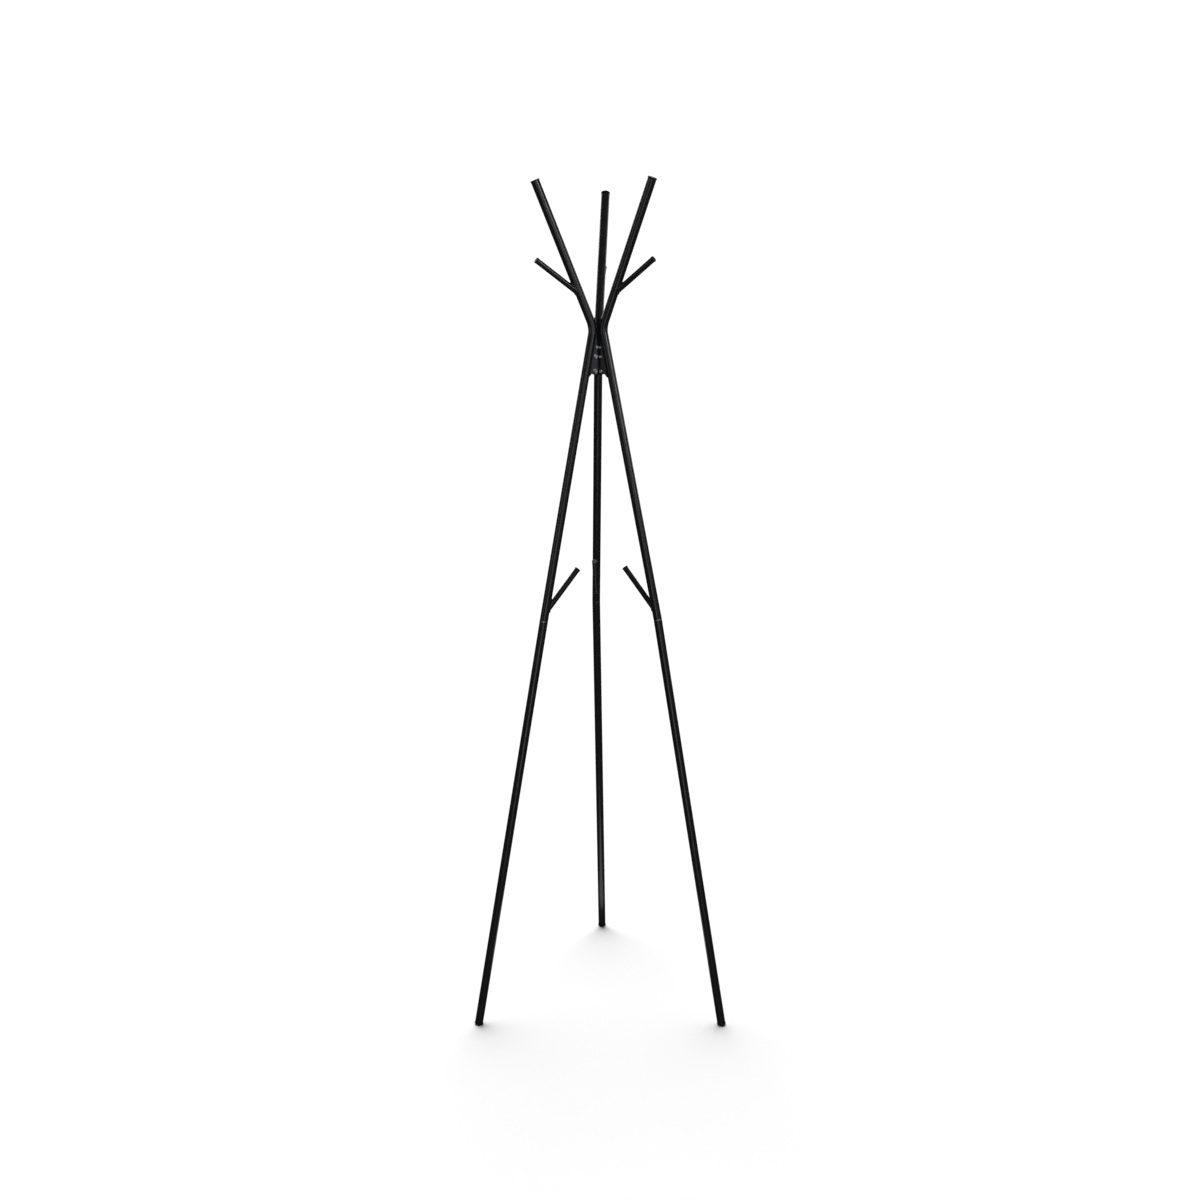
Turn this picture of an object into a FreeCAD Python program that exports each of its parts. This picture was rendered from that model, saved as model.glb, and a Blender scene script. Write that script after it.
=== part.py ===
import FreeCAD, Part
import math
import os
import Sketcher

# Three-legged coat stand: three bent steel tubes meet at a bolted waist, each
# made of an upper tube and a screwed-on lower tube, with an upper and a lower
# hook on each.  Units are millimetres, +Z is up and the floor is z = 0.

V = FreeCAD.Vector
ROT = FreeCAD.Rotation
PL = FreeCAD.Placement

doc = FreeCAD.newDocument("coat_stand")

# ---------------------------------------------------------------- dimensions
DIMS = [
    # main tube
    ("tube_od", 17.0), ("tube_id", 14.6), ("bend_radius", 45.0),
    ("leg_slope", 11.856), ("arm_slope", 23.521), ("bend_turn", 35.377),
    ("leg_run", 591.6), ("arm_run", 294.0),
    ("lower_len", 861.5),
    # waist position and how the three legs are set round it
    ("waist_height", 1429.3), ("waist_radius", 10.8),
    ("leg_twist", -3.893), ("leg_skew", 1.555),
    ("stand_x", 1.7), ("stand_y", -71.9),
    # joint in each leg
    ("joint_gap", 0.5), ("lean_in", 0.0195), ("lean_round", -0.0257),
    ("insert_od", 14.6), ("stud_plug_len", 14.0), ("collar_len", 3.0),
    ("stud_od", 8.0), ("stud_len", 16.0), ("nut_insert_len", 20.0),
    # hooks
    ("hook_od", 11.0), ("hook_id", 9.0),
    ("top_hook_len", 108.0), ("top_hook_at", 69.0), ("top_hook_lean", 55.99),
    ("low_hook_len", 110.2), ("low_hook_at", 575.6), ("low_hook_lean", 41.38),
    # plastic caps and feet
    ("arm_cap_od", 18.2), ("arm_cap_head", 2.5), ("arm_cap_stem", 14.0),
    ("hook_cap_od", 12.0), ("hook_cap_head", 3.0), ("hook_cap_stem", 9.0),
    ("cap_round", 0.8),
    ("foot_od", 18.4), ("foot_edge", 1.2), ("foot_dome", 2.0), ("foot_stem", 15.0),
    # waist plates
    ("plate_thk", 2.5), ("plate_top", 19.4), ("plate_top_r", 19.24),
    ("plate_low", 98.7), ("plate_low_r", 31.52),
    ("foot_corner", 97.2), ("foot_corner_r", 22.6),
    ("notch", 89.0), ("notch_r", 14.8), ("lug_side", 90.6), ("lug_side_r", 11.8),
    ("lug", 91.6), ("lug_r", 8.2), ("toe", 89.8), ("toe_r", 4.4), ("heel", 83.5),
    ("plate_gap_od", 18.6),
    # waist fasteners
    ("bolt_hole", 4.5), ("low_bolt_r", 8.2), ("low_bolt_z", 84.6),
    ("mid_bolt_r", 7.1), ("mid_bolt_z", 56.6),
    ("top_bolt_r", 6.0), ("top_bolt_z", 38.0),
    ("bolt_od", 4.0), ("bolt_len", 10.0), ("head_od", 7.6), ("head_len", 2.2),
    ("key_flat", 2.5), ("key_deep", 1.3),
    ("washer_od", 9.0), ("washer_id", 4.3), ("washer_thk", 0.8),
    ("nut_flat", 7.0), ("nut_len", 3.2), ("nut_bore", 4.0),
]
sheet = doc.addObject("Spreadsheet::Sheet", "Dims")
for row, (alias, value) in enumerate(DIMS, 1):
    sheet.set("A%d" % row, alias)
    sheet.set("B%d" % row, str(value))
    sheet.setAlias("B%d" % row, alias)
doc.recompute()
D = {alias: float(sheet.get(alias)) for alias, _ in DIMS}


# ------------------------------------------------------------------- helpers
def plane(body, role):
    return [o for o in body.Origin.OriginFeatures if o.Role == role][0]


def new_body(label):
    body = doc.addObject("PartDesign::Body", label)
    body.Label = label
    return body


def new_sketch(body, name, role):
    sk = body.newObject("Sketcher::SketchObject", name)
    sk.AttachmentSupport = [(plane(body, role), "")]
    sk.MapMode = "FlatFace"
    return sk


def bind(sk, index, name, expr):
    sk.renameConstraint(index, name)
    sk.setExpression("Constraints." + name, expr)


def circle(sk, name, alias, cx=None, cz=None, cx_sign=1, cz_sign=1):
    """Circle bound to a diameter; centred on the origin or at bound offsets."""
    x = D[cx] * cx_sign if cx else 0.0
    z = D[cz] * cz_sign if cz else 0.0
    g = sk.addGeometry(Part.Circle(V(x, z, 0), V(0, 0, 1), D[alias] / 2.0), False)
    if cx is None:
        sk.addConstraint(Sketcher.Constraint("Coincident", g, 3, -1, 1))
    else:
        fix_point(sk, g, 3, cx, cx_sign, cz, cz_sign, name)
    c = sk.addConstraint(Sketcher.Constraint("Diameter", g, D[alias]))
    bind(sk, c, name + "_dia", "Dims." + alias)
    return g


def fix_point(sk, g, pos, ax, sx, az, sz, name):
    """Hold a point at (sx*ax, sz*az), each read from the sheet or zero."""
    if ax is None:
        sk.addConstraint(Sketcher.Constraint("PointOnObject", g, pos, -2))
    else:
        ends = (-1, 1, g, pos) if sx > 0 else (g, pos, -1, 1)
        c = sk.addConstraint(Sketcher.Constraint("DistanceX", *ends, D[ax]))
        bind(sk, c, name + "_x", "Dims." + ax)
    if az is None:
        sk.addConstraint(Sketcher.Constraint("PointOnObject", g, pos, -1))
    else:
        ends = (-1, 1, g, pos) if sz > 0 else (g, pos, -1, 1)
        c = sk.addConstraint(Sketcher.Constraint("DistanceY", *ends, D[az]))
        bind(sk, c, name + "_y", "Dims." + az)


def polygon(sk, points):
    """Closed outline; each corner is (x alias, sign, y alias, sign)."""
    xy = [((D[a] * sa) if a else 0.0, (D[b] * sb) if b else 0.0)
          for a, sa, b, sb in points]
    n = len(xy)
    ids = []
    for i in range(n):
        p, q = xy[i], xy[(i + 1) % n]
        ids.append(sk.addGeometry(Part.LineSegment(V(p[0], p[1], 0), V(q[0], q[1], 0)), False))
    for i in range(n):
        sk.addConstraint(Sketcher.Constraint("Coincident", ids[i], 2, ids[(i + 1) % n], 1))
    for i, (a, sa, b, sb) in enumerate(points):
        fix_point(sk, ids[i], 1, a, sa, b, sb, "c%d" % i)
    return ids


def pad(body, sk, name, alias, reverse=False):
    p = body.newObject("PartDesign::Pad", name)
    p.Profile = sk
    p.Length = D[alias]
    p.setExpression("Length", "Dims." + alias)
    p.Reversed = reverse
    sk.Visibility = False
    return p


def ring_body(label, od, bore, length):
    """Straight round tube from the origin along +Z."""
    body = new_body(label)
    sk = new_sketch(body, label + "_ring", "XY_Plane")
    circle(sk, "outer", od)
    if bore:
        circle(sk, "inner", bore)
    pad(body, sk, label + "_pad", length)
    return body


def pipe_body(label, od, bore):
    """Bent main tube: starts at its lower end on the origin and runs up +Z."""
    body = new_body(label)
    path = new_sketch(body, label + "_path", "XZ_Plane")
    turn = math.radians(D["bend_turn"])
    tang = D["bend_radius"] * math.tan(turn / 2)
    low = V(0, D["leg_run"] - tang, 0)
    top = V(tang * math.sin(turn), D["leg_run"] + tang * math.cos(turn), 0)
    end = V(D["arm_run"] * math.sin(turn), D["leg_run"] + D["arm_run"] * math.cos(turn), 0)
    ctr = V(D["bend_radius"], low.y, 0)
    a = path.addGeometry(Part.LineSegment(V(0, 0, 0), low), False)
    arc = Part.ArcOfCircle(Part.Circle(ctr, V(0, 0, 1), D["bend_radius"]),
                           math.pi - turn, math.pi)
    b = path.addGeometry(arc, False)
    c = path.addGeometry(Part.LineSegment(top, end), False)
    path.addConstraint(Sketcher.Constraint("Coincident", a, 1, -1, 1))
    path.addConstraint(Sketcher.Constraint("Vertical", a))
    path.addConstraint(Sketcher.Constraint("Tangent", a, 2, b, 2))
    path.addConstraint(Sketcher.Constraint("Tangent", b, 1, c, 1))
    i = path.addConstraint(Sketcher.Constraint("Radius", b, D["bend_radius"]))
    bind(path, i, "bend", "Dims.bend_radius")
    i = path.addConstraint(Sketcher.Constraint("DistanceY", a, 1, a, 2, low.y))
    bind(path, i, "leg_straight",
         "Dims.leg_run - Dims.bend_radius * tan(Dims.bend_turn / 2)")
    i = path.addConstraint(Sketcher.Constraint("Distance", c, 1, c, 2, D["arm_run"] - tang))
    bind(path, i, "arm_straight",
         "Dims.arm_run - Dims.bend_radius * tan(Dims.bend_turn / 2)")
    i = path.addConstraint(Sketcher.Constraint("DistanceX", a, 1, c, 2, end.x))
    bind(path, i, "arm_reach", "Dims.arm_run * sin(Dims.bend_turn)")
    prof = new_sketch(body, label + "_section", "XY_Plane")
    circle(prof, "outer", od)
    if bore:
        circle(prof, "inner", bore)
    doc.recompute()
    pipe = body.newObject("PartDesign::AdditivePipe", label + "_sweep")
    pipe.Profile = prof
    pipe.Spine = (path, ["Edge1", "Edge2", "Edge3"])
    body.Tip = pipe
    path.Visibility = False
    prof.Visibility = False
    return body


def plug_body(label, head_od, head_len, stem_od, stem_len, round_alias):
    """Plastic plug: head above the origin with a rounded rim, stem below."""
    body = new_body(label)
    sk = new_sketch(body, label + "_head", "XY_Plane")
    circle(sk, "head", head_od)
    head = pad(body, sk, label + "_head_pad", head_len)
    sk2 = new_sketch(body, label + "_stem", "XY_Plane")
    circle(sk2, "stem", stem_od)
    stem = pad(body, sk2, label + "_stem_pad", stem_len, reverse=True)
    doc.recompute()
    rim = []
    for n, e in enumerate(stem.Shape.Edges, 1):
        if len(e.Vertexes) == 1 and abs(e.Vertexes[0].Z - D[head_len]) < 1e-6 \
                and abs(e.Length - math.pi * D[head_od]) < 1e-3:
            rim.append("Edge%d" % n)
    f = body.newObject("PartDesign::Fillet", label + "_rim")
    f.Base = (stem, rim)
    f.Radius = D[round_alias]
    f.setExpression("Radius", "Dims." + round_alias)
    body.Tip = f
    return body


def cylinder(name, alias_od, length, placement):
    c = doc.addObject("Part::Cylinder", name)
    c.Radius = D[alias_od] / 2
    c.setExpression("Radius", "Dims." + alias_od + " / 2")
    c.Height = length
    c.Placement = placement
    return c


def boolean(kind, name, base, tool):
    b = doc.addObject(kind, name)
    b.Base = base
    b.Tool = tool
    b.Refine = True
    return b


def along(point, direction):
    return PL(point, ROT(V(0, 0, 1), direction))


# ----------------------------------------------------------- frame of a leg
RAD = math.radians
waist = V(D["stand_x"], D["stand_y"], D["waist_height"])
LEGS = [("rear", 90.0), ("left", 210.0), ("right", 330.0)]

down = V(math.sin(RAD(D["leg_slope"])), 0, -math.cos(RAD(D["leg_slope"])))
up = V(math.sin(RAD(D["arm_slope"])), 0, math.cos(RAD(D["arm_slope"])))
vertex = V(D["waist_radius"], 0, 0)
joint = vertex + down * (D["leg_run"] + D["joint_gap"])
lean = V(down.x - D["lean_in"], D["lean_round"], down.z)
lean.normalize()
arm_end = vertex + up * D["arm_run"]
top_dir = V(math.sin(RAD(D["top_hook_lean"])), 0, math.cos(RAD(D["top_hook_lean"])))
low_dir = V(-math.sin(RAD(D["low_hook_lean"])), 0, math.cos(RAD(D["low_hook_lean"])))
top_root = vertex + up * D["top_hook_at"]
low_root = vertex + down * D["low_hook_at"]

parts = []


def finished(obj, label):
    obj.Label = label
    parts.append(obj)


envelopes = {}
gauges = {}
plates = {}
frames = {}
for leg, azimuth in LEGS:
    turn_z = ROT(V(0, 0, 1), azimuth + D["leg_twist"])
    tilt = ROT(V(1, 0, 0), D["leg_skew"])
    skewed = PL(waist, turn_z.multiply(tilt))
    upright = PL(waist, turn_z)
    frames[leg] = (skewed, upright)

    # upper tube, with its arm above the waist
    spine_pl = PL(vertex + down * D["leg_run"], ROT(V(0, 1, 0), -D["leg_slope"]))
    tube = pipe_body(leg + "_upper_tube", "tube_od", "tube_id")
    tube.Placement = skewed.multiply(spine_pl)
    finished(tube, leg + "_upper_tube")
    # solid outlines of the same tube, used to trim the waist plates
    env = pipe_body(leg + "_tube_outline", "tube_od", None)
    env.Placement = skewed.multiply(spine_pl)
    envelopes[leg] = env
    gauge = pipe_body(leg + "_tube_clearance", "plate_gap_od", None)
    gauge.Placement = skewed.multiply(spine_pl)
    gauges[leg] = gauge

    # lower tube, standing on its foot
    low = ring_body(leg + "_lower_tube", "tube_od", "tube_id", "lower_len")
    low.Placement = skewed.multiply(along(joint + lean * D["joint_gap"], lean))
    finished(low, leg + "_lower_tube")

    # threaded stud pressed into the upper tube, its collar square to both tubes
    plug = new_body(leg + "_stud_plug")
    sk = new_sketch(plug, leg + "_stud_plug_round", "XY_Plane")
    circle(sk, "plug", "insert_od")
    pad(plug, sk, leg + "_stud_plug_pad", "stud_plug_len", reverse=True)
    sk = new_sketch(plug, leg + "_collar_round", "XY_Plane")
    circle(sk, "collar", "tube_od")
    pad(plug, sk, leg + "_collar_pad", "collar_len")
    plug.Placement = skewed.multiply(along(vertex + down * D["leg_run"], down))
    face = doc.addObject("Part::Box", leg + "_collar_face")
    face.Length = 40
    face.Width = 40
    face.Height = 10
    face.Placement = skewed.multiply(along(joint + lean * D["joint_gap"], lean)).multiply(
        PL(V(-20, -20, 0), ROT()))
    collar = boolean("Part::Cut", leg + "_collar_cut", plug, face)
    rod = doc.addObject("Part::Cylinder", leg + "_stud_rod")
    rod.setExpression("Radius", "Dims.stud_od / 2")
    rod.setExpression("Height", "Dims.stud_len + 6")
    rod.Placement = skewed.multiply(along(joint + lean * (D["joint_gap"] - 6), lean))
    stud = boolean("Part::Fuse", leg + "_joint_stud", collar, rod)
    finished(stud, leg + "_joint_stud")

    # tapped bush pressed into the lower tube
    bush = ring_body(leg + "_joint_bush", "insert_od", "stud_od", "nut_insert_len")
    bush.Placement = skewed.multiply(along(joint + lean * D["joint_gap"], lean))
    finished(bush, leg + "_joint_bush")

    # foot: domed plug with a flat where it meets the floor
    foot = new_body(leg + "_foot_plug")
    sk = new_sketch(foot, leg + "_foot_stem", "XY_Plane")
    circle(sk, "stem", "tube_id")
    pad(foot, sk, leg + "_foot_stem_pad", "foot_stem", reverse=True)
    half = D["foot_od"] / 2
    rs = (half * half + D["foot_dome"] ** 2) / (2 * D["foot_dome"])
    prof = new_sketch(foot, leg + "_foot_profile", "XZ_Plane")
    top_z = D["foot_edge"] + D["foot_dome"]
    ctr = V(0, top_z - rs, 0)
    a0 = math.atan2(D["foot_edge"] - ctr.y, half)
    g0 = prof.addGeometry(Part.LineSegment(V(0, 0, 0), V(half, 0, 0)), False)
    g1 = prof.addGeometry(Part.LineSegment(V(half, 0, 0), V(half, D["foot_edge"], 0)), False)
    g2 = prof.addGeometry(Part.ArcOfCircle(Part.Circle(ctr, V(0, 0, 1), rs), a0, math.pi / 2), False)
    g3 = prof.addGeometry(Part.LineSegment(V(0, top_z, 0), V(0, 0, 0)), False)
    K = Sketcher.Constraint
    prof.addConstraint(K("Coincident", g0, 1, -1, 1))
    prof.addConstraint(K("Horizontal", g0))
    prof.addConstraint(K("Coincident", g0, 2, g1, 1))
    prof.addConstraint(K("Vertical", g1))
    prof.addConstraint(K("Coincident", g1, 2, g2, 1))
    prof.addConstraint(K("Coincident", g2, 2, g3, 1))
    prof.addConstraint(K("Coincident", g3, 2, -1, 1))
    prof.addConstraint(K("Vertical", g3))
    prof.addConstraint(K("PointOnObject", g2, 3, -2))
    i = prof.addConstraint(K("DistanceX", g0, 1, g0, 2, half))
    bind(prof, i, "half_width", "Dims.foot_od / 2")
    i = prof.addConstraint(K("DistanceY", g1, 1, g1, 2, D["foot_edge"]))
    bind(prof, i, "edge", "Dims.foot_edge")
    i = prof.addConstraint(K("DistanceY", g3, 2, g3, 1, top_z))
    bind(prof, i, "height", "Dims.foot_edge + Dims.foot_dome")
    rev = foot.newObject("PartDesign::Revolution", leg + "_foot_dome")
    rev.Profile = prof
    rev.ReferenceAxis = (prof, ["V_Axis"])
    rev.Angle = 360
    prof.Visibility = False
    end_pt = joint + lean * (D["joint_gap"] + D["lower_len"])
    foot.Placement = skewed.multiply(along(end_pt, lean))
    ground = doc.addObject("Part::Box", leg + "_floor")
    ground.Length = 60
    ground.Width = 60
    ground.Height = 20
    at = skewed.multVec(end_pt)
    ground.Placement = PL(V(at.x - 30, at.y - 30, -20), ROT())
    shoe = boolean("Part::Cut", leg + "_foot", foot, ground)
    finished(shoe, leg + "_foot")

    # plug in the arm's top end
    cap = plug_body(leg + "_arm_cap", "arm_cap_od", "arm_cap_head", "tube_id",
                    "arm_cap_stem", "cap_round")
    cap.Placement = skewed.multiply(along(arm_end, up))
    finished(cap, leg + "_arm_cap")

    # upper and lower hooks, coped to the main tube they are welded to
    for which, root, way, base_dir, length in (
            ("top", top_root, top_dir, up, "top_hook_len"),
            ("low", low_root, low_dir, down, "low_hook_len")):
        blank = ring_body("%s_%s_hook_blank" % (leg, which), "hook_od", "hook_id", length)
        blank.Placement = skewed.multiply(along(root, way))
        saddle = cylinder("%s_%s_saddle" % (leg, which), "tube_od", 80.0,
                          skewed.multiply(along(root - base_dir * 30, base_dir)))
        hook = boolean("Part::Cut", "%s_%s_hook" % (leg, which), blank, saddle)
        finished(hook, "%s_%s_hook" % (leg, which))
        tip = plug_body("%s_%s_hook_cap" % (leg, which), "hook_cap_od", "hook_cap_head",
                        "hook_id", "hook_cap_stem", "cap_round")
        tip.Placement = skewed.multiply(along(root + way * D[length], way))
        finished(tip, "%s_%s_hook_cap" % (leg, which))

# ------------------------------------------------------------- waist plates
# Each plate is folded to 120 degrees.  Its web is welded to its own tube and
# its wing lies against the web of the next leg, so the three plates fill the
# three gaps between the legs and meet on the axis of the stand.
order = ["rear", "left", "right"]


def plate_half(name, reverse):
    body = new_body(name)
    sk = new_sketch(body, name + "_outline", "XZ_Plane")
    polygon(sk, [
        (None, 1, "plate_top", 1),
        (None, 1, "heel", -1),
        ("toe_r", 1, "toe", -1),
        ("lug_r", 1, "lug", -1),
        ("lug_side_r", 1, "lug_side", -1),
        ("notch_r", 1, "notch", -1),
        ("foot_corner_r", 1, "foot_corner", -1),
        ("plate_low_r", 1, "plate_low", -1),
        ("waist_radius", 1, None, 1),
        ("plate_top_r", 1, "plate_top", 1),
    ])
    circle(sk, "lower_hole", "bolt_hole", "low_bolt_r", "low_bolt_z", 1, -1)
    circle(sk, "middle_hole", "bolt_hole", "mid_bolt_r", "mid_bolt_z", 1, -1)
    circle(sk, "upper_hole", "bolt_hole", "top_bolt_r", "top_bolt_z", 1, -1)
    pad(body, sk, name + "_pad", "plate_thk", reverse)
    return body


for i, leg in enumerate(order):
    nxt = order[(i + 1) % 3]
    web = plate_half(leg + "_plate_web", True)
    web.Placement = frames[leg][1]
    wing = plate_half(leg + "_plate_wing", False)
    wing.Placement = frames[nxt][1]
    doc.recompute()
    web_cut = boolean("Part::Cut", leg + "_plate_web_cut", web, envelopes[leg])
    wing_cut = boolean("Part::Cut", leg + "_plate_wing_cut", wing, gauges[nxt])
    plate = boolean("Part::Fuse", leg + "_waist_plate", web_cut, wing_cut)
    finished(plate, leg + "_waist_plate")


# ---------------------------------------------------------- waist fasteners
def bolt_body(name):
    """Button-head screw: seat at z = 0, head below, shank along +Z."""
    body = new_body(name)
    sk = new_sketch(body, name + "_profile", "XZ_Plane")
    hr, hl = D["head_od"] / 2, D["head_len"]
    top = hr * 0.55
    br, bl = D["bolt_od"] / 2, D["bolt_len"]
    pts = [(0, -hl), (top, -hl), (hr, -0.6), (hr, 0), (br, 0), (br, bl - 0.6),
           (br - 0.6, bl), (0, bl)]
    ids = []
    for k in range(len(pts)):
        p, q = pts[k], pts[(k + 1) % len(pts)]
        if k == 1:
            # rounded shoulder of the head
            mid = V((p[0] + q[0]) / 2 + 0.45, (p[1] + q[1]) / 2 - 0.35, 0)
            arc = Part.Arc(V(p[0], p[1], 0), mid, V(q[0], q[1], 0))
            ids.append(sk.addGeometry(arc, False))
        else:
            ids.append(sk.addGeometry(Part.LineSegment(V(p[0], p[1], 0), V(q[0], q[1], 0)), False))
    i = sk.addConstraint(Sketcher.Constraint("DistanceX", -1, 1, ids[3], 2, br))
    bind(sk, i, "shank", "Dims.bolt_od / 2")
    i = sk.addConstraint(Sketcher.Constraint("DistanceX", -1, 1, ids[2], 2, hr))
    bind(sk, i, "head", "Dims.head_od / 2")
    rev = body.newObject("PartDesign::Revolution", name + "_turn")
    rev.Profile = sk
    rev.ReferenceAxis = (sk, ["V_Axis"])
    rev.Angle = 360
    sk.Visibility = False
    doc.recompute()
    key = body.newObject("Sketcher::SketchObject", name + "_key")
    key.AttachmentSupport = [(plane(body, "XY_Plane"), "")]
    key.MapMode = "FlatFace"
    key.AttachmentOffset = PL(V(0, 0, -hl), ROT())
    hexagon(key, "key_flat")
    pocket = body.newObject("PartDesign::Pocket", name + "_socket")
    pocket.Profile = key
    pocket.Length = D["key_deep"]
    pocket.setExpression("Length", "Dims.key_deep")
    before = rev.Shape.Volume
    doc.recompute()
    if pocket.Shape.isNull() or pocket.Shape.Volume > before - 1:
        pocket.Reversed = True
        doc.recompute()
    body.Tip = pocket
    return body


def hexagon(sk, alias):
    r = D[alias] / math.sqrt(3)
    ring = sk.addGeometry(Part.Circle(V(0, 0, 0), V(0, 0, 1), r), True)
    sk.addConstraint(Sketcher.Constraint("Coincident", ring, 3, -1, 1))
    pts = [V(r * math.cos(RAD(60 * k + 30)), r * math.sin(RAD(60 * k + 30)), 0) for k in range(6)]
    ids = [sk.addGeometry(Part.LineSegment(pts[k], pts[(k + 1) % 6]), False) for k in range(6)]
    for k in range(6):
        sk.addConstraint(Sketcher.Constraint("Coincident", ids[k], 2, ids[(k + 1) % 6], 1))
        sk.addConstraint(Sketcher.Constraint("PointOnObject", ids[k], 1, ring))
    for k in range(1, 6):
        sk.addConstraint(Sketcher.Constraint("Equal", ids[0], ids[k]))
    sk.addConstraint(Sketcher.Constraint("Vertical", ids[5]))
    i = sk.addConstraint(Sketcher.Constraint("Diameter", ring, 2 * r))
    bind(sk, i, "across", "Dims.%s * 2 / sqrt(3)" % alias)


def nut_body(name):
    body = new_body(name)
    sk = new_sketch(body, name + "_hex", "XY_Plane")
    hexagon(sk, "nut_flat")
    circle(sk, "bore", "nut_bore")
    p = pad(body, sk, name + "_pad", "nut_len")
    doc.recompute()
    # corners of the outer face are turned down
    tip = []
    for n, e in enumerate(p.Shape.Edges, 1):
        zs = [v.Z for v in e.Vertexes]
        if len(zs) == 2 and min(zs) > D["nut_len"] - 1e-6:
            tip.append("Edge%d" % n)
    ch = body.newObject("PartDesign::Chamfer", name + "_edge")
    ch.Base = (p, tip)
    ch.Size = 0.45
    body.Tip = ch
    return body


bolts, washers, nuts = [], [], []
for leg in order:
    upright = frames[leg][1]
    # the top screw sits too near the tube for a washer under its nut
    for where, r_alias, z_alias, washer in (("low", "low_bolt_r", "low_bolt_z", True),
                                            ("mid", "mid_bolt_r", "mid_bolt_z", True),
                                            ("high", "top_bolt_r", "top_bolt_z", False)):
        at = V(D[r_alias], 0, -D[z_alias])
        tag = "%s_%s" % (leg, where)

        def seat(offset):
            return upright.multiply(PL(at + V(0, offset, 0), ROT(V(0, 0, 1), V(0, 1, 0))))

        b = bolt_body("bolt_" + tag)
        b.Placement = seat(-D["plate_thk"])
        bolts.append(b)
        if washer:
            w = ring_body("washer_" + tag, "washer_od", "washer_id", "washer_thk")
            w.Placement = seat(D["plate_thk"])
            washers.append(w)
        n = nut_body("nut_" + tag)
        n.Placement = seat(D["plate_thk"] + (D["washer_thk"] if washer else 0.0))
        nuts.append(n)

for label, members in (("waist_bolts", bolts), ("waist_washers", washers), ("waist_nuts", nuts)):
    group = doc.addObject("Part::Compound", label)
    group.Links = members
    finished(group, label)

# -------------------------------------------------------------------- write
doc.recompute()
bad = [o.Name for o in doc.Objects if "Invalid" in o.State or "Error" in o.State]
if bad:
    raise RuntimeError("failed objects: " + ", ".join(bad))
for obj in parts:
    if obj.Shape.isNull() or not obj.Shape.isValid() or not obj.Shape.Solids:
        raise RuntimeError("bad shape: " + obj.Label)
    if obj.Label not in ("waist_bolts", "waist_washers", "waist_nuts") and len(obj.Shape.Solids) != 1:
        raise RuntimeError("%s has %d solids" % (obj.Label, len(obj.Shape.Solids)))
if len(set(o.Label for o in parts)) != len(parts):
    raise RuntimeError("labels repeat")

os.makedirs("parts", exist_ok=True)
whole = FreeCAD.BoundBox()
for obj in parts:
    whole.add(obj.Shape.BoundBox)
    obj.Shape.exportStep("parts/%s.step" % obj.Label)
print("%d parts, x %.2f..%.2f  y %.2f..%.2f  z %.3f..%.2f"
      % (len(parts), whole.XMin, whole.XMax, whole.YMin, whole.YMax, whole.ZMin, whole.ZMax))
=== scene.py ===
import bpy, bmesh, math, random
from mathutils import Vector, Matrix, Quaternion


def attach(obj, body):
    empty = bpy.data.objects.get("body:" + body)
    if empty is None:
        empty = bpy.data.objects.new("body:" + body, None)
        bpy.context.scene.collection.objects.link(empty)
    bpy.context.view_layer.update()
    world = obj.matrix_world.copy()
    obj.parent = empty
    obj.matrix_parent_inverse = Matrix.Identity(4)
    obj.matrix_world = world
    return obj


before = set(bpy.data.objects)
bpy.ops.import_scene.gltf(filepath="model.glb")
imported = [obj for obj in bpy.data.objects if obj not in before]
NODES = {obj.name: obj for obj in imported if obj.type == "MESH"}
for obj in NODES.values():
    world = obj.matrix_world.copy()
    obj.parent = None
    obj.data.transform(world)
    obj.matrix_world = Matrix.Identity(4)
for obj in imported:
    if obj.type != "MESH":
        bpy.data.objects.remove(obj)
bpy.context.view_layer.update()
random.seed(7)
MM = 0.001

# ------------------------------------------------------------------ leg frame
# The same working frame as the CAD: every leg lies in a plane through the
# waist point, turned about the stand's axis and leaned a little sideways.
WAIST = Vector((1.7, -71.9, 1429.3)) * MM
TWIST, SKEW = math.radians(-3.893), math.radians(1.555)
LEG_A, ARM_A = math.radians(11.856), math.radians(23.521)
VERTEX = Vector((10.8, 0, 0)) * MM
DOWN = Vector((math.sin(LEG_A), 0, -math.cos(LEG_A)))
UP = Vector((math.sin(ARM_A), 0, math.cos(ARM_A)))
TUBE_R, HOOK_R, BEND_R = 8.5 * MM, 5.5 * MM, 45 * MM
TOP_DIR = Vector((math.sin(math.radians(55.99)), 0, math.cos(math.radians(55.99))))
LOW_DIR = Vector((-math.sin(math.radians(41.38)), 0, math.cos(math.radians(41.38))))
TOP_ROOT = VERTEX + UP * 69.0 * MM
LOW_ROOT = VERTEX + DOWN * 575.6 * MM
LEGS = {"rear": 90.0, "left": 210.0, "right": 330.0}


def leg_frames(azimuth):
    turn = Matrix.Rotation(math.radians(azimuth) + TWIST, 4, "Z")
    upright = Matrix.Translation(WAIST) @ turn
    return upright @ Matrix.Rotation(SKEW, 4, "X"), upright


# ------------------------------------------------------------------ materials
def new_mat(name):
    m = bpy.data.materials.new(name)
    m.use_nodes = True
    nt = m.node_tree
    bsdf = [n for n in nt.nodes if n.type == "BSDF_PRINCIPLED"][0]
    return m, nt, bsdf


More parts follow.
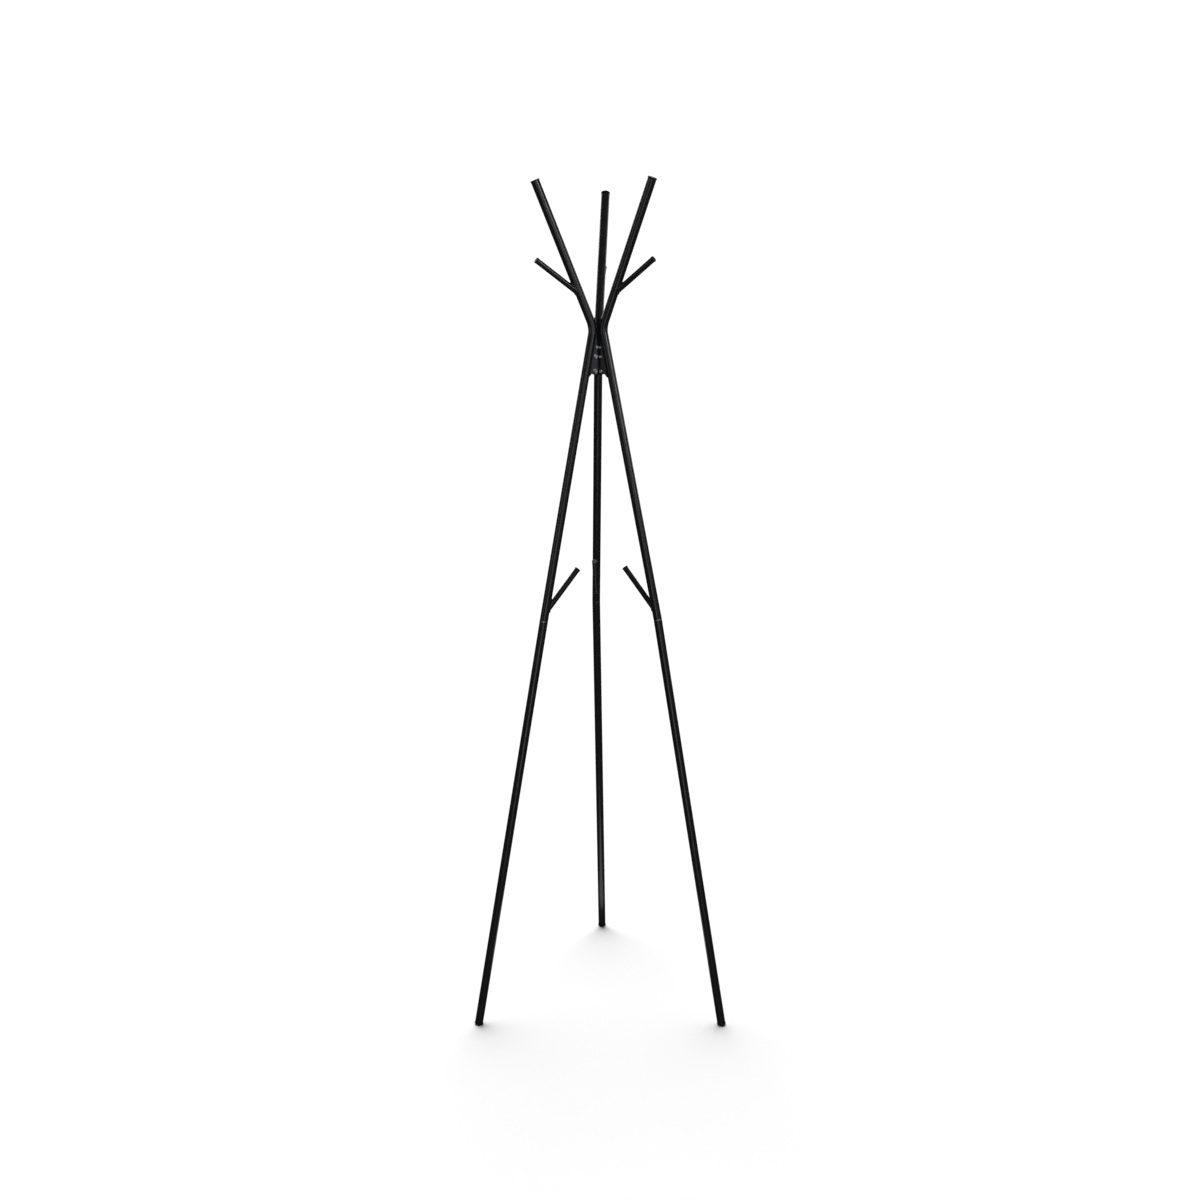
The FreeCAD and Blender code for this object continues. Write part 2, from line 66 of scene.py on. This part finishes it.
def noise(nt, scale, detail=4.0, rough=0.5, coord="Object", stretch=None):
    tc = nt.nodes.new("ShaderNodeTexCoord")
    n = nt.nodes.new("ShaderNodeTexNoise")
    n.inputs["Scale"].default_value = scale
    n.inputs["Detail"].default_value = detail
    n.inputs["Roughness"].default_value = rough
    if stretch:
        mp = nt.nodes.new("ShaderNodeMapping")
        mp.inputs["Scale"].default_value = stretch
        nt.links.new(tc.outputs[coord], mp.inputs["Vector"])
        nt.links.new(mp.outputs["Vector"], n.inputs["Vector"])
    else:
        nt.links.new(tc.outputs[coord], n.inputs["Vector"])
    return n


def ramp(nt, source, stops):
    r = nt.nodes.new("ShaderNodeValToRGB")
    while len(r.color_ramp.elements) < len(stops):
        r.color_ramp.elements.new(0.5)
    for e, (pos, col) in zip(r.color_ramp.elements, stops):
        e.position = pos
        e.color = col if len(col) == 4 else (*col, 1)
    nt.links.new(source, r.inputs["Fac"])
    return r


def map_range(nt, source, lo, hi, a=0.0, b=1.0):
    m = nt.nodes.new("ShaderNodeMapRange")
    m.inputs["From Min"].default_value = a
    m.inputs["From Max"].default_value = b
    m.inputs["To Min"].default_value = lo
    m.inputs["To Max"].default_value = hi
    nt.links.new(source, m.inputs["Value"])
    return m


def bump(nt, bsdf, height, strength, distance, chain=None):
    b = nt.nodes.new("ShaderNodeBump")
    b.inputs["Strength"].default_value = strength
    b.inputs["Distance"].default_value = distance
    nt.links.new(height, b.inputs["Height"])
    if chain:
        nt.links.new(chain.outputs["Normal"], b.inputs["Normal"])
    nt.links.new(b.outputs["Normal"], bsdf.inputs["Normal"])
    return b


def powder_coat(name, tone=1.0, rough=(0.27, 0.36)):
    """Satin black polyester powder: orange-peel ripple, fine grain, and a
    slight mottling of colour and gloss."""
    m, nt, bsdf = new_mat(name)
    mottle = noise(nt, 38.0, 5.0, 0.62)
    col = ramp(nt, mottle.outputs["Fac"], [
        (0.30, (0.0048 * tone, 0.0050 * tone, 0.0058 * tone)),
        (0.55, (0.0065 * tone, 0.0068 * tone, 0.0077 * tone)),
        (0.80, (0.0088 * tone, 0.0090 * tone, 0.0100 * tone))])
    nt.links.new(col.outputs["Color"], bsdf.inputs["Base Color"])
    gloss = noise(nt, 120.0, 3.0, 0.55)
    mr = map_range(nt, gloss.outputs["Fac"], rough[0], rough[1], 0.3, 0.7)
    nt.links.new(mr.outputs["Result"], bsdf.inputs["Roughness"])
    peel = noise(nt, 620.0, 1.5, 0.45)
    grain = noise(nt, 2600.0, 2.0, 0.6)
    b1 = bump(nt, bsdf, peel.outputs["Fac"], 0.35, 0.00022)
    bump(nt, bsdf, grain.outputs["Fac"], 0.22, 0.00006, b1)
    bsdf.inputs["Specular IOR Level"].default_value = 0.5
    bsdf.inputs["Coat Weight"].default_value = 0.05
    bsdf.inputs["Coat Roughness"].default_value = 0.28
    return m


def plastic(name, base=0.006, rough=(0.42, 0.6), grain_scale=1900.0, level=0.28):
    """Moulded black polyethylene: spark-eroded texture and faint flow marks."""
    m, nt, bsdf = new_mat(name)
    flow = noise(nt, 90.0, 3.0, 0.6)
    col = ramp(nt, flow.outputs["Fac"], [
        (0.3, (base * 0.85, base * 0.85, base * 0.87)),
        (0.75, (base * 1.35, base * 1.35, base * 1.37))])
    nt.links.new(col.outputs["Color"], bsdf.inputs["Base Color"])
    mr = map_range(nt, flow.outputs["Fac"], rough[0], rough[1], 0.3, 0.7)
    nt.links.new(mr.outputs["Result"], bsdf.inputs["Roughness"])
    grain = noise(nt, grain_scale, 2.0, 0.65)
    bump(nt, bsdf, grain.outputs["Fac"], 0.3, 0.00009)
    bsdf.inputs["Specular IOR Level"].default_value = level
    return m


def zinc(name, rough=(0.24, 0.4), tone=1.0):
    """Bright zinc plating with a cool cast, cloudy patches and fine lines."""
    m, nt, bsdf = new_mat(name)
    cloud = noise(nt, 420.0, 4.0, 0.6)
    col = ramp(nt, cloud.outputs["Fac"], [
        (0.28, (0.50 * tone, 0.51 * tone, 0.53 * tone)),
        (0.55, (0.66 * tone, 0.67 * tone, 0.68 * tone)),
        (0.8, (0.72 * tone, 0.71 * tone, 0.68 * tone))])
    nt.links.new(col.outputs["Color"], bsdf.inputs["Base Color"])
    bsdf.inputs["Metallic"].default_value = 1.0
    mr = map_range(nt, cloud.outputs["Fac"], rough[0], rough[1], 0.3, 0.7)
    nt.links.new(mr.outputs["Result"], bsdf.inputs["Roughness"])
    lines = noise(nt, 900.0, 2.0, 0.5, stretch=(1.0, 1.0, 6.0))
    bump(nt, bsdf, lines.outputs["Fac"], 0.15, 0.00004)
    return m


M_TUBE = powder_coat("powder_coat_tube")
M_HOOK = powder_coat("powder_coat_hook", 1.05, (0.27, 0.36))
M_PLATE = powder_coat("powder_coat_plate", 1.1, (0.30, 0.40))
M_WELD = powder_coat("powder_coat_weld", 1.0, (0.26, 0.36))
M_CAP = plastic("cap_plastic")
M_FOOT = plastic("foot_plastic", 0.008, (0.5, 0.68), 1500.0, 0.35)
M_ZINC = zinc("zinc_plate", (0.26, 0.40), 0.85)
M_NUT = zinc("zinc_nut", (0.34, 0.5), 0.4)
M_COLLAR = zinc("zinc_collar", (0.32, 0.5), 0.7)


def put(obj, mat):
    if obj.data.materials:
        for i in range(len(obj.data.materials)):
            obj.data.materials[i] = mat
    else:
        obj.data.materials.append(mat)


for name, obj in NODES.items():
    if name.endswith("_tube"):
        put(obj, M_TUBE)
    elif name.endswith("_hook"):
        put(obj, M_HOOK)
    elif name.endswith("_waist_plate"):
        put(obj, M_PLATE)
    elif name.endswith("_cap"):
        put(obj, M_CAP)
    elif name.endswith("_foot"):
        put(obj, M_FOOT)
    elif name.endswith("_joint_stud"):
        put(obj, M_COLLAR)
    elif name == "waist_nuts":
        put(obj, M_NUT)
    else:
        put(obj, M_ZINC)

# ---------------------------------------------------------------- weld beads
def bead(name, pts, radii, closed, sides=10, mat=None):
    """A lumpy bead of weld along a line of points, tapered at open ends."""
    bm = bmesh.new()
    n = len(pts)
    rings = []
    for i, p in enumerate(pts):
        a = pts[(i - 1) % n] if closed or i > 0 else pts[i]
        b = pts[(i + 1) % n] if closed or i < n - 1 else pts[i]
        t = (b - a).normalized()
        ref = Vector((0, 0, 1)) if abs(t.z) < 0.9 else Vector((1, 0, 0))
        u = t.cross(ref).normalized()
        v = t.cross(u).normalized()
        rings.append([bm.verts.new(p + (u * math.cos(q) + v * math.sin(q)) * radii[i])
                      for q in (2 * math.pi * k / sides for k in range(sides))])
    last = n if closed else n - 1
    for i in range(last):
        r0, r1 = rings[i], rings[(i + 1) % n]
        shift = 0
        if closed and i == n - 1:
            shift = min(range(sides), key=lambda s: (r0[0].co - r1[s].co).length)
        for k in range(sides):
            bm.faces.new((r0[k], r0[(k + 1) % sides],
                          r1[(k + 1 + shift) % sides], r1[(k + shift) % sides]))
    if not closed:
        bm.faces.new(list(reversed(rings[0])))
        bm.faces.new(rings[-1])
    bmesh.ops.recalc_face_normals(bm, faces=bm.faces)
    me = bpy.data.meshes.new(name)
    bm.to_mesh(me)
    bm.free()
    for poly in me.polygons:
        poly.use_smooth = True
    ob = bpy.data.objects.new(name, me)
    bpy.context.scene.collection.objects.link(ob)
    ob.data.materials.append(mat or M_WELD)
    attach(ob, "root")
    return ob


def hook_weld(name, frame4, root, way, base):
    """Fillet bead round a hook where it is coped to the main tube."""
    u = way.cross(base).normalized()
    v = way.cross(u).normalized()
    pts, radii, reach, rings = [], [], [], []
    n = 120
    phase = random.random() * 6
    for i in range(n):
        q = 2 * math.pi * i / n
        ring = (u * math.cos(q) + v * math.sin(q)) * (HOOK_R + 0.35 * MM)
        lo, hi = 0.0, 30 * MM
        for _ in range(40):
            mid = (lo + hi) / 2
            p = ring + way * mid
            d = (p - base * p.dot(base)).length
            if d < TUBE_R + 0.25 * MM:
                lo = mid
            else:
                hi = mid
        reach.append(lo)
        rings.append(ring)
    # the bead is heaviest in the acute corner, where it fills the crotch
    near, far = min(reach), max(reach)
    crotch = (way + (base if way.dot(base) > 0 else -base)).normalized()
    for i in range(n):
        q = 2 * math.pi * i / n
        f = (reach[i] - near) / (far - near)
        ripple = 0.12 * math.sin(22 * q + phase) + 0.10 * math.sin(5 * q + phase * 2)
        pts.append(frame4 @ (root + rings[i] + way * reach[i] + crotch * (2.1 * MM * f ** 3)))
        radii.append((1.35 + 0.75 * f * f + ripple) * MM)
    return bead(name, pts, radii, True, sides=14)


def path_point(s):
    """Centre line of the bent tube, s in metres from the vertex (up is +)."""
    turn = LEG_A + ARM_A
    tang = BEND_R * math.tan(turn / 2)
    arc = BEND_R * turn / 2
    if s > arc:
        return VERTEX + UP * (tang + (s - arc))
    if s < -arc:
        return VERTEX + DOWN * (tang + (-s - arc))
    mid_dir = (UP + DOWN).normalized()
    ctr = VERTEX + mid_dir * (BEND_R / math.cos(turn / 2))
    ang = s / BEND_R
    base = -mid_dir * BEND_R
    return ctr + Quaternion((0, 1, 0), ang).to_matrix() @ base


PATH = [path_point(s * MM) for s in range(-140, 60)]


def tube_distance(p):
    return min((p - q).length for q in PATH)


def plate_weld(name, skewed, upright, z0, z1):
    """Fillet bead where a waist plate's web runs into its own tube."""
    inv = skewed.inverted()
    pts, radii = [], []
    n = max(8, int(abs(z1 - z0) / 1.1))
    phase = random.random() * 6
    for i in range(n + 1):
        z = (z0 + (z1 - z0) * i / n) * MM
        lo, hi = -4 * MM, 40 * MM
        s = 2.9 * MM
        # walk outwards until the tube's surface is met
        r = lo
        while r < hi and tube_distance(inv @ (upright @ Vector((r, s, z)))) > TUBE_R + 0.3 * MM:
            r += 0.15 * MM
        pts.append(upright @ Vector((r, s, z)))
        end = min(i, n - i)
        taper = min(1.0, 0.35 + end * 0.3)
        ripple = 0.14 * math.sin(i * 2.1 + phase) + 0.08 * math.sin(i * 0.7)
        radii.append((1.25 + ripple) * taper * MM)
    return bead(name, pts, radii, False)


for leg, az in LEGS.items():
    skewed, upright = leg_frames(az)
    hook_weld(leg + "_top_hook_weld", skewed, TOP_ROOT, TOP_DIR, UP)
    hook_weld(leg + "_low_hook_weld", skewed, LOW_ROOT, LOW_DIR, DOWN)
    plate_weld(leg + "_plate_weld_low", skewed, upright, -96, -70)
    plate_weld(leg + "_plate_weld_mid", skewed, upright, -50, -24)
    plate_weld(leg + "_plate_weld_top", skewed, upright, -2, 17)

# ------------------------------------------------------------------ floor, light
floor_me = bpy.data.meshes.new("floor")
bm = bmesh.new()
bmesh.ops.create_circle(bm, cap_ends=True, radius=3.2, segments=128)
bm.to_mesh(floor_me)
bm.free()
floor = bpy.data.objects.new("floor", floor_me)
bpy.context.scene.collection.objects.link(floor)
m, nt, bsdf = new_mat("pale_floor")
fl = noise(nt, 1.3, 2.0)
fc = ramp(nt, fl.outputs["Fac"], [(0.3, (0.88, 0.88, 0.88)), (0.7, (0.90, 0.90, 0.90))])
nt.links.new(fc.outputs["Color"], bsdf.inputs["Base Color"])
bsdf.inputs["Roughness"].default_value = 0.95
bsdf.inputs["Specular IOR Level"].default_value = 0.0
floor.data.materials.append(m)
floor.visible_glossy = False

# white sweep behind the stand; only a little of it reaches the object
world = bpy.data.worlds.new("studio")
bpy.context.scene.world = world
world.use_nodes = True
wn = world.node_tree
wn.nodes.clear()
out = wn.nodes.new("ShaderNodeOutputWorld")
mixw = wn.nodes.new("ShaderNodeMixShader")
path = wn.nodes.new("ShaderNodeLightPath")
seen = wn.nodes.new("ShaderNodeBackground")
seen.inputs["Color"].default_value = (1, 1, 1, 1)
seen.inputs["Strength"].default_value = 1.05
rest = wn.nodes.new("ShaderNodeBackground")
rest.inputs["Color"].default_value = (1, 1, 1, 1)
rest.inputs["Strength"].default_value = 0.03
wn.links.new(path.outputs["Is Camera Ray"], mixw.inputs["Fac"])
wn.links.new(rest.outputs["Background"], mixw.inputs[1])
wn.links.new(seen.outputs["Background"], mixw.inputs[2])
wn.links.new(mixw.outputs["Shader"], out.inputs["Surface"])


PANELS = []


def aim(ob, loc, target):
    ob.location = loc
    ob.rotation_euler = (Vector(target) - Vector(loc)).to_track_quat("-Z", "Y").to_euler()


def area(name, loc, target, size, power, color=(1, 1, 1), size_y=None):
    li = bpy.data.lights.new(name, "AREA")
    li.energy = power
    li.color = color
    li.shape = "RECTANGLE"
    li.size = size
    li.size_y = size_y or size
    ob = bpy.data.objects.new(name, li)
    bpy.context.scene.collection.objects.link(ob)
    aim(ob, loc, target)
    PANELS.append(ob)
    return ob


area("key", (2.35, -2.4, 2.5), (0, 0, 1.2), 0.8, 35, (0.95, 0.98, 1.07), size_y=1.2)
area("side", (-2.75, -1.8, 1.8), (0, 0, 1.2), 0.7, 5.5, size_y=1.0)
area("fill", (0.15, -3.3, 1.2), (0, 0, 0.8), 0.7, 9, size_y=1.8)
area("low", (0.15, -2.4, 0.22), (0, 0, 0.42), 0.5, 2.5, size_y=0.4)
sky = bpy.data.lights.new("overhead", "SUN")
sky.energy = 3.9
sky.angle = math.radians(50)
# a dim card lying under the stand, for the undersides
card = area("bounce", (0.0, 0.0, 0.02), (0.0, 0.0, 2.0), 0.20, 0.25, size_y=0.34)
card.visible_camera = False
area("back_left", (-2.0, 2.6, 2.2), (0, 0, 1.1), 1.0, 18, size_y=1.6)
area("back_right", (2.6, 1.9, 2.0), (0, 0, 1.1), 1.0, 13, size_y=1.6)

# the panels are flagged off the floor, which the overhead light alone keeps even
off_floor = bpy.data.collections.new("off_floor")
off_floor.objects.link(floor)
off_floor.collection_objects[0].light_linking.link_state = "EXCLUDE"
for ob in PANELS:
    ob.light_linking.receiver_collection = off_floor
sky_ob = bpy.data.objects.new("overhead", sky)
bpy.context.scene.collection.objects.link(sky_ob)
aim(sky_ob, (-0.4, 2.2, 5.0), (0, 0, 0))

# ------------------------------------------------------------------ camera
cam_data = bpy.data.cameras.new("camera")
cam = bpy.data.objects.new("camera", cam_data)
bpy.context.scene.collection.objects.link(cam)
cam_data.sensor_width = 36.0
cam_data.sensor_fit = "HORIZONTAL"
cam_data.lens = 36.0 * 1176.52 / 1200.0
cam_data.clip_end = 200.0
cam.matrix_world = (Matrix.Translation((0.0032958, -2.46226, 1.36711))
                    @ Matrix.Rotation(math.radians(90 - 11.5429), 4, "X")
                    @ Matrix.Rotation(math.radians(-0.2208), 4, "Z"))
bpy.context.scene.camera = cam

sc = bpy.context.scene
sc.view_settings.view_transform = "Standard"
sc.view_settings.look = "None"
